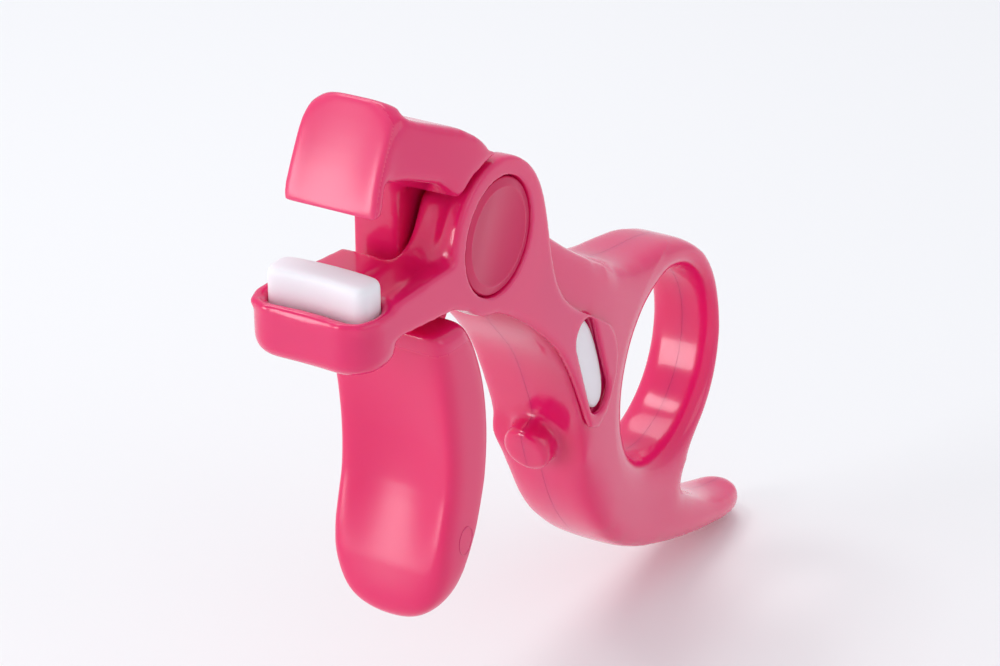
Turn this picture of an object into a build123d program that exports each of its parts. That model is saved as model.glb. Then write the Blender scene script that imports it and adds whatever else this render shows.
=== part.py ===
from build123d import *
import math
import os

# Mini eyelash curler of moulded plastic, held like a pistol by a finger ring. Millimetres.
# Origin: centre of the finger ring. +X runs from the jaws back to the ring, +Z is up, and
# the side with the pad window faces -Y. The frame and the squeeze lever lap at the pivot
# as in a pair of pliers: the frame's half is on the -Y side, the lever's half on the +Y side.

# ---- driving dimensions -------------------------------------------------------------
PIVOT_X = -41.8
PIVOT_Z = 32.1
RING_R = 11.5            # finger hole
RING_MOUTH = 0.9         # how far the hole's mouths flare
GRIP_HALF = 6.2          # half width of the grip beside the pad window
RING_HALF = 5.0          # half width at the finger ring
TAIL_HALF = 4.2          # half width at the tail's tip
SHELL_WALL = 1.7
SEAT_DEPTH = 0.9          # how far bosses and the pad's tray stop inside the surface
HEAD_HALF = 7.2          # outer face of the frame's cheek
CHEEK_R = 8.2
CHEEK_T = 2.6
PLATE_FALL = 0.35        # how much nearer the middle the plate's foot is
BOSS_R = 6.0             # frame's pivot boss
LAP_Y = -0.4             # frame's lapping face
LAP_GAP = 0.25
HUB_Y = 5.4              # outer face of the lever's hub
HUB_R = 8.0
WEB_FRONT = -49.2
HOOD_GAP = 0.4           # hood to cheek
BAR_HALF = 7.2           # lower jaw bar, half length
BAR_FRONT = -66.3
BAR_BACK = -58.4
BAR_LOW = 25.5
BAR_TOP = 30.8
BAR_CORNER = 3.6
BAR_BOW = 0.5            # the jaw follows the eyelid: its middle is set back by this
PAD_LEN = 11.6
PAD_T = 3.8
PAD_H = 6.6
PAD_TOP = 34.3
PAD_MID_X = -62.1
PAD_FIT = 0.05
PAD_CORNER = 1.2
FLOOR_TOP = 31.6
ARM_TOP = 31.9
ARM_T = 2.2
FLOOR_LOW = 28.4
FLOOR_BACK = -51.0
FLOOR_FAR = 5.3
BADGE_R = 6.1
BADGE_T = 0.9
BADGE_FIT = 0.15         # gap round a badge
BADGE_SINK = 0.1         # how far a badge lies under its face
PIN_R = 1.5
PIN_FIT = 0.04
SPRING_R = 2.9           # mean radius of the return spring's coil
SPRING_WIRE = 0.6
SPRING_TURNS = 3.5
SPRING_LOW = -2.3
POCKET_R = 3.6           # counterbore that holds the coil
TRIGGER_HALF = 7.2
TRIGGER_END_Z = -9.0
SHIELD_HALF = 5.5
WINDOW_X = -22.2
WINDOW_Z = 9.7
WINDOW_TILT = 21.0       # the window leans forward from the vertical
WINDOW_LEN = 13.0
WINDOW_W = 4.4
SPARE_DEEP = 4.8
SCREW_R = 1.0
SCREW_HEAD_R = 1.9
SCREW_HEAD_T = 1.2
SCREW_SEAT = 2.6
SCREW_SPOTS = [(-28.5, 20.6), (-13.5, -11.5), (4.5, -21.2)]
PEG_R = 2.9
PEG_TIP = (-25.1, -1.4)
PEG_TILT = 108.5
PEG_LEN = 8.0

PIVOT = (PIVOT_X, PIVOT_Z)


def at(x, y, z, shape):
    """The shape moved to a place."""
    return Pos(x, y, z) * shape


def slab(face, y_low, y_high):
    """A face drawn in X and Z, made solid between two values of Y."""
    plane = Plane.XZ.offset(-y_high)
    return extrude(plane * face, y_high - y_low)


def outline(*edges):
    """A face bounded by a closed chain of edges."""
    return make_face(Curve() + list(edges))


def disc(centre, radius):
    """A round face at a point of the side view."""
    return Pos(centre[0], centre[1]) * Circle(radius)


def rod(x, z, radius, y_low, y_high):
    """A round bar parallel to Y."""
    return slab(disc((x, z), radius), y_low, y_high)


def soften(solid, edges, radii):
    """Fillet edges with the first radius of the list that the solid takes."""
    for radius in radii:
        try:
            rounded = fillet(edges, radius)
        except Exception:
            continue
        if rounded.is_valid:
            return rounded
    print("left sharp")
    return solid


# ---- grip: two half shells ---------------------------------------------------------
def grip_face():
    """Side view of the grip: neck, finger ring, hooked tail and belly."""
    neck_top = (-33.0, 30.4)
    notch = (4.4, -17.4)
    tail_top = (22.0, -26.2)
    tail_low = (22.0, -30.3)
    throat = (-22.4, 1.0)
    chin = (-34.2, 24.9)
    back = Spline(
        [neck_top, (-27.5, 26.0), (-19.0, 20.6), (-10.5, 16.8), (-4.0, 15.9), (3.5, 14.6),
         (10.2, 9.9), (13.6, 2.0), (13.2, -5.0), (9.6, -10.9), (6.0, -14.2), notch],
    )
    tail = Spline([notch, (8.5, -20.9), (15.0, -24.3), tail_top])
    tip = ThreePointArc(tail_top, (25.6, -28.6), tail_low)
    belly = Spline(
        [tail_low, (15.0, -28.7), (4.0, -25.7), (-6.0, -21.8), (-14.5, -16.2), (-20.3, -8.0), throat]
    )
    front = Spline([throat, (-24.6, 6.1), (-28.4, 13.1), (-33.2, 18.6), chin])
    cup = ThreePointArc(chin, (-32.4, 27.7), neck_top)
    return outline(back, tail, tip, belly, front, cup)


def grip_plan():
    """Plan view of the grip, narrowing from the neck to the ring and the tail."""
    side = [
        (-24.0, GRIP_HALF), (-19.0, GRIP_HALF - 0.1), (-14.0, GRIP_HALF - 0.4), (-4.0, RING_HALF + 0.1),
        (8.0, RING_HALF - 0.1), (16.0, TAIL_HALF + 0.4), (20.5, TAIL_HALF - 0.1), (23.6, TAIL_HALF * 0.68),
        (25.7, 0.0),
    ]
    left = Spline(side)
    right = Spline([(x, -y) for x, y in reversed(side)])
    front = Polyline((-24.0, -GRIP_HALF), (-50.0, -GRIP_HALF), (-50.0, GRIP_HALF), (-24.0, GRIP_HALF))
    face = make_face(Curve() + [left, right, front])
    return extrude(Pos(0, 0, -60) * face, 120)


def ring_hole():
    """Finger hole: a straight wall between two coned mouths."""
    wall = rod(0, 0, RING_R, -20, 20)
    cone = Cone(RING_R, RING_R + 2 * RING_MOUTH, 2 * RING_MOUTH)
    left = at(0, -RING_HALF, 0, Rot(90, 0, 0) * cone)
    right = at(0, RING_HALF, 0, Rot(-90, 0, 0) * cone)
    return wall + left + right


def grip_cavity():
    """Hollow inside the grip, kept clear of the ring's wall and the tail."""
    low = Spline([(-20.0, 2.0), (-18.0, -7.0), (-12.8, -14.5), (-5.5, -19.6), (3.0, -22.8)])
    up = Spline([(3.0, -22.8), (1.0, -15.8), (-8.5, -13.5), (-15.0, -6.5), (-15.6, 4.0), (-12.5, 12.0)])
    roof = Spline([(-12.5, 12.0), (-18.0, 17.4), (-26.0, 22.4), (-31.0, 25.2)])
    front = Spline([(-31.0, 25.2), (-30.6, 19.5), (-25.8, 13.6), (-20.0, 2.0)])
    return slab(outline(low, up, roof, front), -GRIP_HALF + SHELL_WALL, GRIP_HALF - SHELL_WALL - 0.2)


def pad_window(length, width, y_low, y_high):
    """Lens-shaped prism along Y at the pad window."""
    face = Pos(WINDOW_X, WINDOW_Z) * Rot(0, 0, WINDOW_TILT) * SlotOverall(length, width, rotation=90)
    return slab(face, y_low, y_high)


def grip_solid():
    """The whole grip before it is parted on its middle plane."""
    body = slab(grip_face(), -GRIP_HALF - 1, GRIP_HALF + 1) & grip_plan()
    peg = Cylinder(PEG_R, PEG_LEN, align=(Align.CENTER, Align.CENTER, Align.MAX))
    peg = fillet(peg.edges().group_by(Axis.Z)[-1], 0.7)
    peg = at(PEG_TIP[0], 0, PEG_TIP[1], Rot(0, -PEG_TILT, 0) * peg)
    body = body + peg
    return body - ring_hole() - grip_cavity()


def screw_boss(spot, y_low, y_high):
    return rod(spot[0], spot[1], SCREW_HEAD_R + 0.7, y_low, y_high)


def grip_shells():
    """Left (-Y) and right (+Y) shells, with screw bosses and the spare pad's tray."""
    body = grip_solid()
    outer = slab(grip_face(), -GRIP_HALF - 1, GRIP_HALF + 1) & grip_plan()
    for spot in SCREW_SPOTS:
        body = body + (screw_boss(spot, -GRIP_HALF + SEAT_DEPTH, GRIP_HALF - SEAT_DEPTH) & outer)
    tray = pad_window(WINDOW_LEN + 2.0, WINDOW_W + 2.0, -GRIP_HALF - 1, -0.1) & outer
    body = body + tray
    left = body & at(0, -25, 0, Box(200, 50, 200))
    right = body & at(0, 25, 0, Box(200, 50, 200))
    left = left - pad_window(WINDOW_LEN, WINDOW_W, -GRIP_HALF - 1, -SEAT_DEPTH)
    for spot in SCREW_SPOTS:
        left = left - rod(spot[0], spot[1], SCREW_R, -3.5, 1)
        right = right - rod(spot[0], spot[1], SCREW_R + 0.1, -1, GRIP_HALF + 1)
        right = right - rod(spot[0], spot[1], SCREW_HEAD_R + 0.1, SCREW_SEAT, GRIP_HALF + 1)
    return left, right


# ---- frame: jaw bar, arm, cheek and tail plate in one moulding ----------------------
def plate_face():
    """Side view of the cheek and the plate that laps down over the grip."""
    top = (PIVOT_X + 4.9, PIVOT_Z + 6.6)
    front_low = (PIVOT_X - 5.5, PIVOT_Z - 6.1)
    crown_at = (PIVOT_X, PIVOT_Z + CHEEK_R)
    cheek = ThreePointArc(front_low, (PIVOT_X - CHEEK_R, PIVOT_Z + 0.4), crown_at)
    crown = ThreePointArc(crown_at, (PIVOT_X + 2.6, PIVOT_Z + 7.8), top)
    back = Spline([top, (-33.2, 34.4), (-31.6, 28.6), (-29.2, 21.4), (-23.4, 16.4), (-18.6, 13.4)])
    foot = Spline([(-18.6, 13.4), (-16.5, 9.8), (-17.2, 5.0), (-20.6, 1.5)])
    toe = Line((-20.6, 1.5), (-22.3, 2.2))
    front = Spline([(-22.3, 2.2), (-24.7, 7.0), (-28.6, 13.4), (-32.4, 17.2), (-37.3, 21.0), front_low])
    return outline(cheek, crown, back, foot, toe, front)


def plate_plan():
    """Plan view that lets the plate's outer face fall towards its foot."""
    foot = -HEAD_HALF + PLATE_FALL
    edge = Spline([(-75.0, -HEAD_HALF), (-40.0, -HEAD_HALF), (-30.0, -HEAD_HALF + 0.05), (-12.0, foot)])
    rest = Polyline((-12.0, foot), (-12.0, 20.0), (-75.0, 20.0), (-75.0, -HEAD_HALF))
    return extrude(make_face(Curve() + [edge, rest]), 120, both=True)


def bar_face(inset, half, front, back):
    """Plan view of the jaw bar or its pocket: a bowed strip with round corners."""
    near = -half + inset
    far = half - inset
    fore = front + inset
    aft = back - inset
    face = make_face(
        Curve()
        + [
            ThreePointArc((fore, near), (fore + BAR_BOW, 0), (fore, far)),
            Line((fore, far), (aft, far)),
            ThreePointArc((aft, far), (aft + BAR_BOW, 0), (aft, near)),
            Line((aft, near), (fore, near)),
        ]
    )
    return face


def bar_prism(face, z_low, z_high, corner):
    """An upright prism of a plan face with its upright edges rounded."""
    prism = extrude(Pos(0, 0, z_low) * face, z_high - z_low)
    return fillet(prism.edges().filter_by(Axis.Z), corner)


def pad_block(fit):
    """The pad's plan outline as a prism, larger all round by the fit."""
    face = bar_face(-fit, PAD_LEN / 2, PAD_MID_X - PAD_T / 2, PAD_MID_X + PAD_T / 2)
    return bar_prism(face, PAD_TOP - PAD_H, PAD_TOP, PAD_CORNER)


def jaw_frame():
    """Lower jaw, arm, cheek, pivot boss and tail plate."""
    cheek = slab(plate_face(), -HEAD_HALF - 1, -GRIP_HALF) & plate_plan()
    cheek = cheek + rod(PIVOT_X, PIVOT_Z, CHEEK_R, -HEAD_HALF, -HEAD_HALF + CHEEK_T)
    arm_face = outline(
        Polyline(
            (-62.0, FLOOR_LOW), (-50.0, 27.2), (PIVOT_X - 5.5, PIVOT_Z - 6.1),
            (PIVOT_X - 2.0, PIVOT_Z - 7.0), (PIVOT_X - 3.0, PIVOT_Z + 2.0),
            (PIVOT_X - 6.0, PIVOT_Z + 3.0), (-50.4, ARM_TOP + 0.2), (-60.0, ARM_TOP), (-62.0, BAR_TOP),
            (-62.0, FLOOR_LOW),
        )
    )
    arm = slab(arm_face, -HEAD_HALF, -HEAD_HALF + ARM_T)
    boss = rod(PIVOT_X, PIVOT_Z, BOSS_R, -HEAD_HALF + 0.5, LAP_Y)
    ramp_face = outline(
        Spline([(-51.6, FLOOR_TOP), (-49.0, 32.7), (-47.8, 34.4), (-46.6, 37.4)]),
        Polyline(
            (-46.6, 37.4), (-42.0, 37.4), (-42.0, 26.6), (-49.0, 27.1), (-58.0, FLOOR_LOW), (-58.0, FLOOR_TOP)
        ),
        Line((-58.0, FLOOR_TOP), (-51.6, FLOOR_TOP)),
    )
    ramp = slab(ramp_face, -HEAD_HALF + 1.0, LAP_Y)
    floor = at(
        BAR_BACK - 1.0, -HEAD_HALF + 1.0, FLOOR_LOW,
        Box(
            FLOOR_BACK - BAR_BACK + 1.0, FLOOR_FAR + HEAD_HALF - 1.0, FLOOR_TOP - FLOOR_LOW,
            align=(Align.MIN, Align.MIN, Align.MIN),
        ),
    )
    bar = bar_prism(bar_face(0, BAR_HALF, BAR_FRONT, BAR_BACK), BAR_LOW, BAR_TOP, BAR_CORNER)
    bar = soften(bar, bar.edges().group_by(Axis.Z)[0], [1.8, 1.4, 1.0])
    body = cheek + arm + boss + ramp + floor + bar
    body = body - pad_block(PAD_FIT)
    seat_y = -HEAD_HALF + BADGE_T + BADGE_SINK
    body = body - rod(PIVOT_X, PIVOT_Z, BADGE_R + BADGE_FIT, -HEAD_HALF - 1, seat_y)
    body = body - rod(PIVOT_X, PIVOT_Z, PIN_R + 1.3, -HEAD_HALF - 1, seat_y + 1.0)
    body = body - rod(PIVOT_X, PIVOT_Z, PIN_R, -HEAD_HALF - 1, 1)
    body = body - rod(PIVOT_X, PIVOT_Z, POCKET_R, SPRING_LOW - SPRING_WIRE, 1)
    return body - pad_window(WINDOW_LEN, WINDOW_W, -HEAD_HALF - 1, 0)


# ---- squeeze lever: shield, hood, hub, neck and trigger in one moulding ------------
def shield():
    """Upper jaw's front plate, leaning back over its top."""
    top_out = (-56.2, 50.3)
    top_in = (-54.4, 49.2)
    low_out = (-61.0, 40.0)
    low_in = (-59.3, 40.0)
    face = outline(
        Spline([low_out, (-60.5, 42.4), (-59.3, 45.2), (-57.7, 48.0), top_out]),
        Line(top_out, top_in),
        Spline([top_in, (-56.2, 47.0), (-57.8, 44.4), (-58.9, 42.0), low_in]),
        Line(low_in, low_out),
    )
    plate = slab(face, -SHIELD_HALF - 1, SHIELD_HALF + 1)
    shoulder = SHIELD_HALF - 0.2
    front = make_face(
        Curve()
        + [
            Polyline((-shoulder, 46.6), (-SHIELD_HALF, 38.0), (SHIELD_HALF, 38.0), (shoulder, 46.6)),
            Spline(
                [(shoulder, 46.6), (4.3, 49.2), (1.8, 50.3), (-1.8, 50.3), (-4.3, 49.2), (-shoulder, 46.6)]
            ),
        ]
    )
    return plate & extrude(Plane.YZ.offset(-70) * front, 30)


def hood():
    """Arm over the head, from the shield back to the hub and round the frame's cheek."""
    rear_r = CHEEK_R + HOOD_GAP
    low = (PIVOT_X - 6.2, PIVOT_Z + math.sqrt(rear_r**2 - 6.2**2))
    high = (PIVOT_X + 0.3, PIVOT_Z + math.sqrt(rear_r**2 - 0.3**2))
    mid = (PIVOT_X - rear_r * 0.4, PIVOT_Z + rear_r * math.sqrt(0.84))
    crown = (PIVOT_X - 0.4, 42.1)
    side = outline(
        Spline([(-56.0, 49.0), (-49.8, 46.2), (-44.6, 43.8), crown]),
        Line(crown, high),
        ThreePointArc(high, mid, low),
        Polyline(low, (-50.8, 40.5), (-55.6, 42.3), (-58.2, 42.7), (-57.5, 45.6), (-56.0, 49.0)),
    )
    near = -HEAD_HALF + 0.3
    body = slab(side, near - 2, HUB_Y + 2)
    plan = make_face(
        Curve()
        + [
            Spline(
                [(-59.5, -SHIELD_HALF + 0.5), (-55.5, -SHIELD_HALF - 0.1), (-50.0, near + 0.4), (-40.0, near)]
            ),
            Polyline(
                (-40.0, near), (-40.0, HUB_Y), (-52.0, HUB_Y), (-59.5, SHIELD_HALF - 0.5),
                (-59.5, -SHIELD_HALF + 0.5),
            ),
        ]
    )
    return body & extrude(plan, 80)


def trigger_block():
    """Finger trigger: two shallow scoops in front, a round end."""
    top_front = (-53.0, 25.2)
    crease = (-51.3, 4.6)
    toe = (-52.6, -4.6)
    heel = (-46.8, -6.4)
    top_back = (-48.0, 25.2)
    face = outline(
        Spline([top_front, (-51.8, 19.2), (-50.8, 12.0), crease]),
        Spline([crease, (-52.0, 0.4), toe]),
        ThreePointArc(toe, (-50.2, TRIGGER_END_Z), heel),
        Spline([heel, (-44.8, 0.0), (-43.1, 8.0), (-43.0, 12.6), (-44.4, 19.6), top_back]),
        Line(top_back, top_front),
    )
    block = slab(face, -TRIGGER_HALF - 1, TRIGGER_HALF + 1)
    front = make_face(
        Curve()
        + [
            Polyline(
                (-TRIGGER_HALF, -2.0), (-TRIGGER_HALF, 30.0), (TRIGGER_HALF, 30.0), (TRIGGER_HALF, -2.0)
            ),
            ThreePointArc((TRIGGER_HALF, -2.0), (0, TRIGGER_END_Z), (-TRIGGER_HALF, -2.0)),
        ]
    )
    mask = extrude(Plane.YZ.offset(-70) * front, 40)
    block = block & mask
    rims = [e for e in block.edges() if abs(e.center().Y) > 1.0 or e.center().Z < -3.0]
    return soften(block, rims, [1.3, 1.0, 0.7, 0.4])


def squeeze_lever():
    """Everything that turns on the pin when the trigger is squeezed."""
    lap = LAP_Y + LAP_GAP
    hub_low = (PIVOT_X + HUB_R * 0.71, PIVOT_Z - HUB_R * 0.70)
    web_face = outline(
        Polyline((WEB_FRONT, 43.5), (WEB_FRONT, 15.0), (-45.0, 15.0), (-40.2, 20.2), hub_low),
        ThreePointArc(hub_low, (PIVOT_X + HUB_R, PIVOT_Z), (PIVOT_X, PIVOT_Z + HUB_R)),
        Line((PIVOT_X, PIVOT_Z + HUB_R), (WEB_FRONT, 43.5)),
    )
    web = slab(web_face, lap, HUB_Y)
    body = web + hood() + shield() + trigger_block()
    body = body - rod(PIVOT_X, PIVOT_Z, PIN_R + PIN_FIT, -20, 20)
    body = body - rod(PIVOT_X, PIVOT_Z, POCKET_R, -3, 1.9)
    body = body - rod(PIVOT_X, PIVOT_Z, BADGE_R + BADGE_FIT, HUB_Y - BADGE_T - BADGE_SINK, 20)
    return body - rod(PIVOT_X, PIVOT_Z, PIN_R + 1.4, HUB_Y - BADGE_T - 1.0, 20)


# ---- small parts --------------------------------------------------------------------
def badge(y_low, y_high, outer_is_low):
    """Plain cover disc over an end of the pivot pin."""
    body = rod(PIVOT_X, PIVOT_Z, BADGE_R, y_low, y_high)
    rims = body.edges().group_by(Axis.Y)[0 if outer_is_low else -1]
    return fillet(rims, 0.25)


def pivot_pin():
    """Steel pin: a flat head under the left badge and a groove for the clip."""
    head_y = -HEAD_HALF + BADGE_T + 0.15
    pin = rod(PIVOT_X, PIVOT_Z, PIN_R, head_y, HUB_Y - BADGE_T - 0.2)
    head = rod(PIVOT_X, PIVOT_Z, PIN_R + 1.2, head_y, head_y + 0.9)
    groove = rod(PIVOT_X, PIVOT_Z, PIN_R + 1, HUB_Y - BADGE_T - 0.95, HUB_Y - BADGE_T - 0.45)
    core = rod(PIVOT_X, PIVOT_Z, PIN_R - 0.35, -20, 20)
    return pin + head - (groove - core)


def retaining_clip():
    """Open spring clip that sits in the pin's groove."""
    low = HUB_Y - BADGE_T - 0.9
    ring = rod(PIVOT_X, PIVOT_Z, PIN_R + 1.1, low, low + 0.4)
    ring = ring - rod(PIVOT_X, PIVOT_Z, PIN_R - 0.33, low - 1, low + 1)
    return ring - at(PIVOT_X, low, PIVOT_Z - 3, Box(1.6, 3, 6))


def return_spring():
    """Torsion spring round the pin, with one straight leg in each moulding."""
    pitch = SPRING_WIRE + 0.12
    height = pitch * SPRING_TURNS
    coil = Helix(pitch, height, SPRING_R)
    section = Plane(coil @ 0, z_dir=coil % 0) * Circle(SPRING_WIRE / 2)
    wire = sweep(section, coil, is_frenet=True)
    return Pos(PIVOT_X, SPRING_LOW, PIVOT_Z) * Rot(-90, 0, 0) * wire


def screws():
    """Three self-tapping screws that clamp the shells together."""
    group = []
    for x, z in SCREW_SPOTS:
        shank = rod(x, z, SCREW_R, -3.4, SCREW_SEAT + 0.1)
        head = rod(x, z, SCREW_HEAD_R, SCREW_SEAT, SCREW_SEAT + SCREW_HEAD_T)
        slot = at(x, SCREW_SEAT + SCREW_HEAD_T, z, Box(0.5, 1.0, 2.4) + Box(2.4, 1.0, 0.5))
        group.append(shank + head - slot)
    return Compound(group)


def curling_pad():
    """Silicone pad in the lower jaw."""
    pad = pad_block(0)
    return soften(pad, pad.edges().group_by(Axis.Z)[-1], [0.7, 0.5])


def spare_pad():
    """A second pad, cut to lie flat behind the window."""
    pad = pad_window(PAD_LEN, PAD_T, -GRIP_HALF + 0.3, -GRIP_HALF + 0.3 + SPARE_DEEP)
    return fillet(pad.edges().group_by(Axis.Y)[0], 0.6)


# ---- write the parts ----------------------------------------------------------------
def main():
    os.makedirs("parts", exist_ok=True)
    left, right = grip_shells()
    nodes = {
        "grip_shell_left": left,
        "grip_shell_right": right,
        "jaw_frame": jaw_frame(),
        "squeeze_lever": squeeze_lever(),
        "curling_pad": curling_pad(),
        "spare_pad": spare_pad(),
        "badge_left": badge(-HEAD_HALF + BADGE_SINK, -HEAD_HALF + BADGE_SINK + BADGE_T, True),
        "badge_right": badge(HUB_Y - BADGE_SINK - BADGE_T, HUB_Y - BADGE_SINK, False),
        "pivot_pin": pivot_pin(),
        "retaining_clip": retaining_clip(),
        "return_spring": return_spring(),
        "shell_screws": screws(),
    }
    for name, shape in nodes.items():
        export_step(shape, "parts/" + name + ".step")


main()
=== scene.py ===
"""The eyelash curler's visual model, built round its CAD frame.

The scene is in metres. Shapes are given in millimetres and brought over with MM.
"""

import math

import bmesh
import bpy
import numpy as np
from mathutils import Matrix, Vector


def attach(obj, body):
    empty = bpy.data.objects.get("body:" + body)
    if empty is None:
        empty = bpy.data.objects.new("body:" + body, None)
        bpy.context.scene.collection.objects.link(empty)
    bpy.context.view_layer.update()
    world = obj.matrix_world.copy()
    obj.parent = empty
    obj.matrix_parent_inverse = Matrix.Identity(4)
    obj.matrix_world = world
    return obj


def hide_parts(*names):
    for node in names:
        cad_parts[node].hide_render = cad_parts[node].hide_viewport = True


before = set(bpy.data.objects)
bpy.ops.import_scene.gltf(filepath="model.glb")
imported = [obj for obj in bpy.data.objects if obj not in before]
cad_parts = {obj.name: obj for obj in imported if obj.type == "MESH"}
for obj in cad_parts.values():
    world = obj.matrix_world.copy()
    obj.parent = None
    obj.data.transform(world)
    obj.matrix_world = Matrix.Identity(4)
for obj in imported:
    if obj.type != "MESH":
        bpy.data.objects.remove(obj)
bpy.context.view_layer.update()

MM = 0.001
PIVOT = np.array([-41.8, 0.0, 32.1])
BADGE_R = 6.1
WINDOW = np.array([-22.2, 0.0, 9.7])
PEG = np.array([-25.2, 0.0, -1.4])
SHARP = math.radians(50)  # edges sharper than this are shaded as edges


# ---- where a shape changes, from points in mm ---------------------------------------
def ramp(value, start, width):
    """0 before start, 1 a width further on; a negative width runs the other way."""
    return np.clip((value - start) / width, 0, 1)


def near(co, centre, low, high):
    """0 within low of a centre in the side view, 1 beyond high."""
    d = np.hypot(co[:, 0] - centre[0], co[:, 2] - centre[2])
    return ramp(d, low, high - low)


# ---- meshes -------------------------------------------------------------------------
def link(name, data):
    obj = bpy.data.objects.new(name, data)
    bpy.context.scene.collection.objects.link(obj)
    return obj


def mesh_from(bm, name):
    """A new mesh from a bmesh, which is freed."""
    mesh = bpy.data.meshes.new(name)
    bm.to_mesh(mesh)
    bm.free()
    return mesh


def copy_nodes(name, nodes):
    """One new mesh that holds copies of the nodes' meshes."""
    bm = bmesh.new()
    for node in nodes:
        bm.from_mesh(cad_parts[node].data)
    mesh = mesh_from(bm, name)
    mesh.materials.clear()
    return link(name, mesh)


def applied(obj):
    """The object's modifiers made part of its mesh."""
    graph = bpy.context.evaluated_depsgraph_get()
    mesh = bpy.data.meshes.new_from_object(obj.evaluated_get(graph))
    obj.modifiers.clear()
    obj.data = mesh
    return obj


def voxels(obj, size):
    """The outer skin of overlapping closed shapes as one even mesh; size in mm."""
    mod = obj.modifiers.new("voxels", "REMESH")
    mod.mode = "VOXEL"
    mod.voxel_size = size * MM
    return applied(obj)


def split_edges(obj):
    mod = obj.modifiers.new("sharp", "EDGE_SPLIT")
    mod.split_angle = SHARP


def points(mesh):
    co = np.empty(len(mesh.vertices) * 3)
    mesh.vertices.foreach_get("co", co)
    return co.reshape(-1, 3)


def set_points(mesh, co):
    mesh.vertices.foreach_set("co", co.ravel())
    mesh.update()


def normals(mesh):
    no = np.empty(len(mesh.vertices) * 3)
    mesh.vertex_normals.foreach_get("vector", no)
    return no.reshape(-1, 3)


def relax(obj, voxel, blur, strength=None):
    """Rounds every edge by about twice the blur, in mm; strength(points in mm) eases it."""
    mesh = obj.data
    co = points(mesh)
    n = len(co)
    ends = np.empty(len(mesh.edges) * 2, int)
    mesh.edges.foreach_get("vertices", ends)
    a, b = ends.reshape(-1, 2).T
    degree = np.bincount(ends, minlength=n)
    pull = np.full(n, 0.5) if strength is None else 0.5 * strength(co / MM)
    for _ in range(round(4 * (blur / voxel) ** 2)):
        for axis in range(3):
            total = np.bincount(a, co[b, axis], n) + np.bincount(b, co[a, axis], n)
            co[:, axis] += pull * (total / degree - co[:, axis])
    set_points(mesh, co)
    mesh.shade_smooth()


def dish(obj, depth):
    """Sinks the faces that look to -X by depth(points in mm), in mm."""
    co = points(obj.data)
    facing = np.clip(-normals(obj.data)[:, 0], 0, 1) ** 2
    co[:, 0] += facing * depth(co / MM) * MM
    set_points(obj.data, co)


def drop_inner(obj):
    """Keeps only the largest connected surface, so that closed hollows inside go."""
    bm = bmesh.new()
    bm.from_mesh(obj.data)
    bm.verts.index_update()
    label = np.full(len(bm.verts), -1)
    sizes = []
    for start in bm.verts:
        if label[start.index] >= 0:
            continue
        label[start.index] = len(sizes)
        stack = [start]
        count = 0
        while stack:
            vert = stack.pop()
            count += 1
            for edge in vert.link_edges:
                other = edge.other_vert(vert)
                if label[other.index] < 0:
                    label[other.index] = len(sizes)
                    stack.append(other)
        sizes.append(count)
    keep = int(np.argmax(sizes))
    bmesh.ops.delete(bm, geom=[v for v in bm.verts if label[v.index] != keep], context="VERTS")
    bm.to_mesh(obj.data)
    bm.free()


def half(obj, name, side, gap):
    """The part of a closed mesh on one side of the middle plane, capped, with a fine gap in mm."""
    bm = bmesh.new()
    bm.from_mesh(obj.data)
    geom = bm.verts[:] + bm.edges[:] + bm.faces[:]
    cut = bmesh.ops.bisect_plane(
        bm, geom=geom, plane_co=(0, side * gap * MM, 0), plane_no=(0, -side, 0), clear_outer=True
    )
    edges = [e for e in cut["geom_cut"] if isinstance(e, bmesh.types.BMEdge)]
    bmesh.ops.triangle_fill(bm, edges=edges, use_beauty=True)
    bmesh.ops.recalc_face_normals(bm, faces=bm.faces)
    mesh = mesh_from(bm, name)
    piece = link(name, mesh)
    mesh.shade_smooth()
    split_edges(piece)
    return piece


def add_mesh(obj, verts, faces):
    """Adds a closed shape, in mm, to an object's mesh."""
    bm = bmesh.new()
    bm.from_mesh(obj.data)
    made = [bm.verts.new([c * MM for c in v]) for v in verts]
    for face in faces:
        bm.faces.new([made[i] for i in face])
    bm.to_mesh(obj.data)
    bm.free()


def add_tube(obj, path, radius, sides=12):
    """Adds a round bead along a path in mm, closed at both ends."""
    path = [Vector(p) for p in path]
    verts, faces = [], []
    for i, p in enumerate(path):
        along = (path[min(i + 1, len(path) - 1)] - path[max(i - 1, 0)]).normalized()
        side = along.cross(Vector((0, 0, 1))).normalized()
        up = side.cross(along)
        for k in range(sides):
            a = 2 * math.pi * k / sides
            verts.append(p + radius * (math.cos(a) * side + math.sin(a) * up))
    for i in range(len(path) - 1):
        for k in range(sides):
            n = (k + 1) % sides
            faces.append((i * sides + k, i * sides + n, (i + 1) * sides + n, (i + 1) * sides + k))
    faces.append(tuple(reversed(range(sides))))
    faces.append(tuple((len(path) - 1) * sides + k for k in range(sides)))
    add_mesh(obj, verts, faces)


def add_prism(obj, outline, z_low, z_high):
    """Adds an upright prism over a plan outline, in mm, counter-clockwise."""
    n = len(outline)
    verts = [(x, y, z_low) for x, y in outline] + [(x, y, z_high) for x, y in outline]
    faces = [tuple(reversed(range(n))), tuple(range(n, 2 * n))]
    faces += [(i, (i + 1) % n, n + (i + 1) % n, n + i) for i in range(n)]
    add_mesh(obj, verts, faces)


def add_bar(obj, section, y_low, y_high):
    """Adds a bar parallel to Y with a section of (x, z) points, in mm."""
    n = len(section)
    verts = [(x, y, z) for y in (y_low, y_high) for x, z in section]
    faces = [tuple(range(n)), tuple(reversed(range(n, 2 * n)))]
    faces += [((i + 1) % n, i, n + i, n + (i + 1) % n) for i in range(n)]
    add_mesh(obj, verts, faces)


def turns(steps):
    return [2 * math.pi * k / steps for k in range(steps)]


def circle(x, z, radius, steps=48):
    return [(x + radius * math.cos(a), z + radius * math.sin(a)) for a in turns(steps)]


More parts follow.
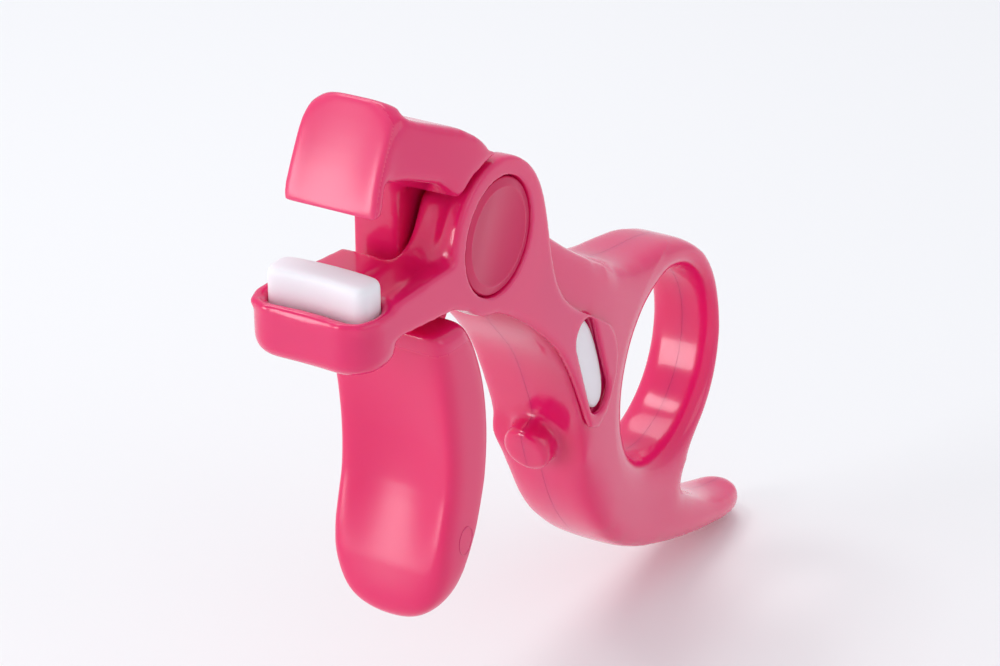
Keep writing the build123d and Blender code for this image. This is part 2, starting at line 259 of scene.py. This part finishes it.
def lathe(name, profile, centre, steps=96):
    """A closed solid turned about a line parallel to Y; profile is (radius, y) from axis to axis."""
    bm = bmesh.new()
    rings = []
    for radius, y in profile:
        around = circle(centre[0], centre[2], radius, steps) if radius else [(centre[0], centre[2])]
        rings.append([bm.verts.new((x * MM, y * MM, z * MM)) for x, z in around])
    for a, b in zip(rings, rings[1:]):
        for k in range(steps):
            n = (k + 1) % steps
            corners = [a[k % len(a)], a[n % len(a)], b[n % len(b)], b[k % len(b)]]
            bm.faces.new(list(dict.fromkeys(corners)))
    bmesh.ops.recalc_face_normals(bm, faces=bm.faces)
    mesh = mesh_from(bm, name)
    mesh.shade_smooth()
    return link(name, mesh)


# ---- materials ----------------------------------------------------------------------
def material(name):
    mat = bpy.data.materials.new(name)
    mat.use_nodes = True
    return mat, mat.node_tree.nodes, mat.node_tree.links, mat.node_tree.nodes["Principled BSDF"]


def noise(nodes, links, scale, detail):
    where = nodes.new("ShaderNodeTexCoord")
    tex = nodes.new("ShaderNodeTexNoise")
    tex.inputs["Scale"].default_value = scale
    tex.inputs["Detail"].default_value = detail
    links.new(where.outputs["Object"], tex.inputs["Vector"])
    return tex


def varied(nodes, links, tex, low, high, socket):
    """A number that follows the noise from low to high."""
    span = nodes.new("ShaderNodeMapRange")
    span.inputs["From Min"].default_value = 0.3
    span.inputs["From Max"].default_value = 0.7
    span.inputs["To Min"].default_value = low
    span.inputs["To Max"].default_value = high
    links.new(tex.outputs["Fac"], span.inputs["Value"])
    links.new(span.outputs["Result"], socket)


def mixed(nodes, links, tex, low, high, socket):
    """A colour that follows the noise from low to high."""
    mix = nodes.new("ShaderNodeMix")
    mix.data_type = "RGBA"
    mix.inputs["A"].default_value = (*low, 1)
    mix.inputs["B"].default_value = (*high, 1)
    links.new(tex.outputs["Fac"], mix.inputs["Factor"])
    links.new(mix.outputs["Result"], socket)


def bumped(nodes, links, bsdf, scale):
    """A fine moulded grain."""
    tex = noise(nodes, links, scale, 3)
    bump = nodes.new("ShaderNodeBump")
    bump.inputs["Strength"].default_value = 0.2
    bump.inputs["Distance"].default_value = 0.02 * MM
    links.new(tex.outputs["Fac"], bump.inputs["Height"])
    links.new(bump.outputs["Normal"], bsdf.inputs["Normal"])


def translucent(bsdf, weight, radius, depth):
    bsdf.inputs["Subsurface Weight"].default_value = weight
    bsdf.inputs["Subsurface Radius"].default_value = radius
    bsdf.inputs["Subsurface Scale"].default_value = depth * MM


def plastic(name, low, high, rough, coat, coat_rough=0.06):
    """Translucent moulded plastic."""
    mat, nodes, links, bsdf = material(name)
    tex = noise(nodes, links, 60, 2)
    mixed(nodes, links, tex, low, high, bsdf.inputs["Base Color"])
    varied(nodes, links, tex, rough * 0.85, rough * 1.15, bsdf.inputs["Roughness"])
    translucent(bsdf, 0.3, (1.0, 0.25, 0.35), 3)
    bsdf.inputs["Coat Weight"].default_value = coat
    bsdf.inputs["Coat Roughness"].default_value = coat_rough
    bumped(nodes, links, bsdf, 900)
    return mat


def silicone(name):
    mat, nodes, links, bsdf = material(name)
    tex = noise(nodes, links, 120, 2)
    mixed(nodes, links, tex, (0.80, 0.78, 0.82), (0.88, 0.86, 0.90), bsdf.inputs["Base Color"])
    bsdf.inputs["Roughness"].default_value = 0.5
    translucent(bsdf, 0.4, (1.0, 0.8, 0.9), 2)
    bumped(nodes, links, bsdf, 1500)
    return mat


def steel(name):
    mat, nodes, links, bsdf = material(name)
    tex = noise(nodes, links, 300, 4)
    mixed(nodes, links, tex, (0.50, 0.51, 0.53), (0.62, 0.63, 0.65), bsdf.inputs["Base Color"])
    bsdf.inputs["Metallic"].default_value = 1.0
    varied(nodes, links, tex, 0.22, 0.38, bsdf.inputs["Roughness"])
    return mat


def paper(name):
    mat, nodes, links, bsdf = material(name)
    tex = noise(nodes, links, 4, 2)
    mixed(nodes, links, tex, (0.885, 0.89, 0.89), (0.905, 0.91, 0.91), bsdf.inputs["Base Color"])
    bsdf.inputs["Roughness"].default_value = 0.6
    return mat


PINK = plastic("pink_plastic", (0.71, 0.007, 0.120), (0.77, 0.012, 0.140), 0.20, 0.30)
BADGE = plastic("pink_badge", (0.61, 0.008, 0.090), (0.66, 0.012, 0.105), 0.36, 0.0)
SATIN = plastic("pink_satin", (0.74, 0.009, 0.125), (0.80, 0.014, 0.145), 0.38, 0.8, 0.24)
SEMI = plastic("pink_semi", (0.72, 0.006, 0.115), (0.78, 0.010, 0.135), 0.32, 0.20, 0.20)
SILICONE = silicone("white_silicone")
STEEL = steel("steel")


def dress(obj, mat, body=None, nodes=()):
    """The piece's material, and what it rides on, stands for and takes its finish from."""
    obj.data.materials.clear()
    obj.data.materials.append(mat)
    if body:
        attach(obj, body)
    if nodes:
        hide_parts(*nodes)
    return obj


# ---- the grip's two shells ----------------------------------------------------------
GRIP_VOXEL = 0.28
SEAM_GAP = 0.012
SCREWS = [(-28.5, 20.6, 6.1), (-13.5, -11.5, 5.7), (4.5, -21.2, 4.85)]  # x, z, outer face
SEAT_R, SEAT_FLOOR = 2.0, 2.7
PLUG_R, PLUG_START = 2.4, -4.2
RING_SIDE_R = 15


def grip_softness(co):
    """Full rounding, but crisp at the window's rim and on the peg."""
    window = np.where(co[:, 1] < -4, near(co, WINDOW, 5.0, 8.0), 1)
    peg = near(co, PEG, 2.6, 4.6)
    return 0.12 + 0.88 * window * peg


def belly(co):
    """The front, the belly and the tail, which are rounder than the ring."""
    away = ramp(np.hypot(co[:, 0], co[:, 2]), 14.5, 5)
    return away * ramp(co[:, 2], 2, -8) * near(co, PEG, 3.4, 5.5)


def saddle(co):
    """Where the neck's back runs up on to the ring."""
    top = np.interp(co[:, 0], [-20.0, -10.5, -4.0, 3.5, 10.2], [21.2, 16.8, 15.9, 14.6, 9.9])
    along = ramp(co[:, 0], -17.5, 3) * ramp(co[:, 0], 9, -5)
    return along * ramp(co[:, 2] - top, -4.0, 1.5)


def mouths(co):
    """The two rims of the finger hole."""
    reach = np.hypot(co[:, 0], co[:, 2])
    return (reach < RING_SIDE_R) * ramp(np.abs(co[:, 1]), 2.2, 1.2)


# both shells as one blank, with the screw seats filled so that the rounding leaves them alone
grip = copy_nodes("grip_blank", ["grip_shell_left", "grip_shell_right"])
for x, z, face in SCREWS:
    add_bar(grip, circle(x, z, PLUG_R), PLUG_START, face)
drop_inner(voxels(grip, GRIP_VOXEL))
relax(grip, GRIP_VOXEL, 1.15, grip_softness)
relax(grip, GRIP_VOXEL, 1.9, belly)
relax(grip, GRIP_VOXEL, 1.4, saddle)
relax(grip, GRIP_VOXEL, 1.1, mouths)
dress(half(grip, "grip_left", -1, SEAM_GAP), PINK, "frame", ["grip_shell_left"])
right = dress(half(grip, "grip_right", 1, SEAM_GAP), PINK, "frame", ["grip_shell_right"])
bpy.data.objects.remove(grip)

# the seats again, cut into the right shell before its edges are split
seats = link("screw_seats", bpy.data.meshes.new("screw_seats"))
for x, z, face in SCREWS:
    add_bar(seats, circle(x, z, SEAT_R), SEAT_FLOOR, face + 3)
cut = right.modifiers.new("seats", "BOOLEAN")
cut.operation = "DIFFERENCE"
cut.solver = "EXACT"
cut.object = seats
right.modifiers.move(1, 0)
applied(right)
bpy.data.objects.remove(seats)

# ---- the lower jaw ------------------------------------------------------------------
VOXEL = 0.2
BEAD_R = 0.55
BEAD_Z = 30.95
# the bar's upper rim, from the near side round the front to the far side
RIM = [
    (-61.05, -6.72), (-63.15, -6.72), (-64.85, -6.048), (-65.55, -4.416), (-65.25, -1.92), (-65.15, 0.0),
    (-65.25, 1.92), (-65.55, 4.416), (-64.85, 6.048), (-63.15, 6.72), (-60.15, 6.72),
]
# the low block behind the pad
BLOCK = [(-57.6, -1.2), (-52.2, -0.4), (-52.2, 4.6), (-57.6, 5.2)]


def jaw_softness(co):
    """Light rounding, with crisp edges at the badge's seat and the window."""
    seat = near(co, PIVOT, BADGE_R + 0.3, BADGE_R + 1.0)
    window = near(co, WINDOW, 6.0, 8.5)
    return 0.25 + 0.75 * seat * (0.15 + 0.85 * window)


def bowl(co):
    """The hollow between the floor and the pivot boss, away from the badge and the lap."""
    x, y, z = co.T
    ahead = ramp(x, -43.5, -2) * ramp(x, -56, 3)
    inside = ramp(y, -6.6, 1.2) * ramp(y, 0.6, -0.8)
    return ahead * inside * ramp(z, 31.4, 1.5)


jaw = copy_nodes("jaw_body", ["jaw_frame"])
add_tube(jaw, [(x, y, BEAD_Z) for x, y in RIM], BEAD_R)
add_prism(jaw, BLOCK, 30.0, 32.2)
voxels(jaw, VOXEL)
relax(jaw, VOXEL, 0.45, jaw_softness)
relax(jaw, VOXEL, 1.3, bowl)
dress(jaw, PINK, "frame", ["jaw_frame"])

# ---- the lever ----------------------------------------------------------------------
TOE_TOP, TOE_BLEND, TOE_SHIFT = 6, 8, 0.7
HOOD_REAR_X, HOOD_REAR_Z, HOOD_REAR_SCALE = -47.5, 41.3, 0.82
SHIELD_Z, SHIELD_X = 39, -53
TRIGGER_Z = 23


def hub_softness(co):
    """Crisp edges where the hub meets its badge and the frame."""
    return 0.3 + 0.7 * near(co, PIVOT, 8.4, 9.4)


def trigger_part(co):
    return ramp(co[:, 2], 24, -4)


def toe_part(co):
    return ramp(co[:, 2], 1, -5)


def scoops(co):
    """How deep the trigger's scoop and the shield's hollow are, in mm."""
    x, y, z = co.T
    across = np.clip(1 - (y / 6.4) ** 2, 0, 1)
    trigger = across * 1.3 * ramp(z, 24, -12) * ramp(z, -7.5, 12)
    rise = ramp(z, 39.5, 11)
    shield = (x < -54) * np.clip(1 - (y / 5.3) ** 2, 0, 1) * 4 * rise * (1 - rise)
    return trigger + 0.6 * shield


lever = voxels(copy_nodes("lever_body", ["squeeze_lever"]), VOXEL)
relax(lever, VOXEL, 0.6, hub_softness)
relax(lever, VOXEL, 0.9, trigger_part)
relax(lever, VOXEL, 1.5, toe_part)

# the toe is brought a little forward, and the hood's rear shortened
co = points(lever.data)
co[:, 0] -= TOE_SHIFT * MM * ramp(co[:, 2], TOE_TOP * MM, -TOE_BLEND * MM)
rear = (co[:, 2] > HOOD_REAR_Z * MM) & (co[:, 0] > HOOD_REAR_X * MM)
co[rear, 0] = HOOD_REAR_X * MM + (co[rear, 0] - HOOD_REAR_X * MM) * HOOD_REAR_SCALE
set_points(lever.data, co)

dish(lever, scoops)
relax(lever, VOXEL, 0.45)
dress(lever, PINK, "lever", ["squeeze_lever"])

# the shield's front is satin and the trigger a little less glossy than the rest
lever.data.materials.append(SATIN)
lever.data.materials.append(SEMI)
for face in lever.data.polygons:
    at = face.center / MM
    if at.z > SHIELD_Z and at.x < SHIELD_X and face.normal.x < -0.45:
        face.material_index = 1
    elif at.z < TRIGGER_Z:
        face.material_index = 2

# the ejector pin's round mark on the trigger's near side, laid on the skin
MARK_X, MARK_Z, MARK_R, MARK_STRETCH = -48.4, 0.8, 1.25, 1.25
MARK_POINTS = 48
skin = points(lever.data) / MM
skin = skin[skin[:, 1] < -5]
mark = bpy.data.curves.new("ejector_mark", "CURVE")
mark.dimensions = "3D"
mark.bevel_depth = 0.05 * MM
line = mark.splines.new("POLY")
line.points.add(MARK_POINTS - 1)
line.use_cyclic_u = True
for point, turn in zip(line.points, turns(MARK_POINTS)):
    x = MARK_X + MARK_R * math.cos(turn)
    z = MARK_Z + MARK_STRETCH * MARK_R * math.sin(turn)
    y = skin[np.argmin(np.hypot(skin[:, 0] - x, skin[:, 2] - z)), 1]
    point.co = (x * MM, y * MM, z * MM, 1)
dress(link("ejector_mark", mark), SEMI, "lever")

# ---- pads, badges and steel ---------------------------------------------------------
PAD_VOXEL = 0.15
pad = voxels(copy_nodes("curling_pad_soft", ["curling_pad"]), PAD_VOXEL)
relax(pad, PAD_VOXEL, 0.35)
dress(pad, SILICONE, "frame", ["curling_pad"])

SPARE_HALF_WIDTH, SPARE_HALF_LENGTH = 2.14, 6.35
SPARE_FACE, SPARE_BACK = -6.25, -1.2
LEAN = math.radians(21)


def lens_section():
    """The spare pad's outline in the window: a tall rounded lens that leans."""
    section = []
    for a in turns(32):
        u = SPARE_HALF_WIDTH * math.copysign(abs(math.cos(a)) ** 0.8, math.cos(a))
        v = SPARE_HALF_LENGTH * math.copysign(abs(math.sin(a)) ** 0.9, math.sin(a))
        x = WINDOW[0] + 0.2 + u * math.cos(LEAN) - v * math.sin(LEAN)
        z = WINDOW[2] + u * math.sin(LEAN) + v * math.cos(LEAN)
        section.append((x, z))
    return section


spare = link("spare_pad_soft", bpy.data.meshes.new("spare_pad_soft"))
add_bar(spare, lens_section(), SPARE_FACE, SPARE_BACK)
voxels(spare, PAD_VOXEL)
relax(spare, PAD_VOXEL, 0.3)
dress(spare, SILICONE, "frame", ["spare_pad"])


def badge_profile(face, back):
    """A disc with a plain raised ring near its edge; face and back are y in mm."""
    out = math.copysign(1, face)
    low = face - 0.12 * out
    edge = [(0, back), (5.9, back), (6.05, back + 0.15 * out), (6.05, low - 0.15 * out), (5.9, low)]
    ring = [(5.35, low), (5.2, face), (5.0, face), (4.85, low)]
    return edge + ring + [(0, low)]


for node, body, face, back in (("badge_left", "frame", -7.1, -6.2), ("badge_right", "lever", 5.3, 4.4)):
    disc = lathe(node + "_disc", badge_profile(face, back), PIVOT)
    split_edges(disc)
    dress(disc, BADGE, body, [node])
for name in ("pivot_pin", "retaining_clip", "return_spring", "shell_screws"):
    dress(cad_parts[name], STEEL)

# ---- stage --------------------------------------------------------------------------
FLOOR_Z = -0.0309
FLOOR_SIZE = 6
SKY = (0.93, 0.94, 1.0)
SKY_STRENGTH = 0.72
AIM = (-0.02, 0, 0.01)
CAMERA = (-0.2588, -0.1408, 0.1415)
CAMERA_TILT, CAMERA_TURN = 64.8, -58.38
FOCAL_LENGTH, SENSOR_WIDTH = 100.8, 36

bpy.ops.mesh.primitive_plane_add(size=FLOOR_SIZE, location=(0, 0, FLOOR_Z))
floor = bpy.context.object
floor.name = "floor"
floor.data.materials.append(paper("pale_floor"))

world = bpy.data.worlds.new("studio")
bpy.context.scene.world = world
world.use_nodes = True
background = world.node_tree.nodes["Background"]
background.inputs["Color"].default_value = (*SKY, 1)
background.inputs["Strength"].default_value = SKY_STRENGTH


def softbox(name, place, size, power):
    """A rectangular lamp at a place in metres, turned to the object."""
    data = bpy.data.lights.new(name, "AREA")
    data.shape = "RECTANGLE"
    data.size, data.size_y = size
    data.energy = power
    lamp = link(name, data)
    lamp.location = place
    lamp.rotation_euler = (Vector(AIM) - Vector(place)).to_track_quat("-Z", "Y").to_euler()


softbox("key", (0.22, 0.20, 0.55), (0.34, 0.34), 0.95)
softbox("top", (-0.14, 0.29, 0.54), (0.14, 0.14), 0.42)
softbox("front", (-0.52, 0.28, 0.11), (0.19, 0.32), 1.15)
softbox("side", (0.05, -0.60, 0.25), (0.40, 0.45), 0.45)

lens = bpy.data.cameras.new("camera")
lens.lens = FOCAL_LENGTH
lens.sensor_width = SENSOR_WIDTH
lens.clip_start = 0.01
camera = link("camera", lens)
camera.location = CAMERA
camera.rotation_euler = (math.radians(CAMERA_TILT), 0, math.radians(CAMERA_TURN))
bpy.context.scene.camera = camera
bpy.context.scene.view_settings.view_transform = "Standard"
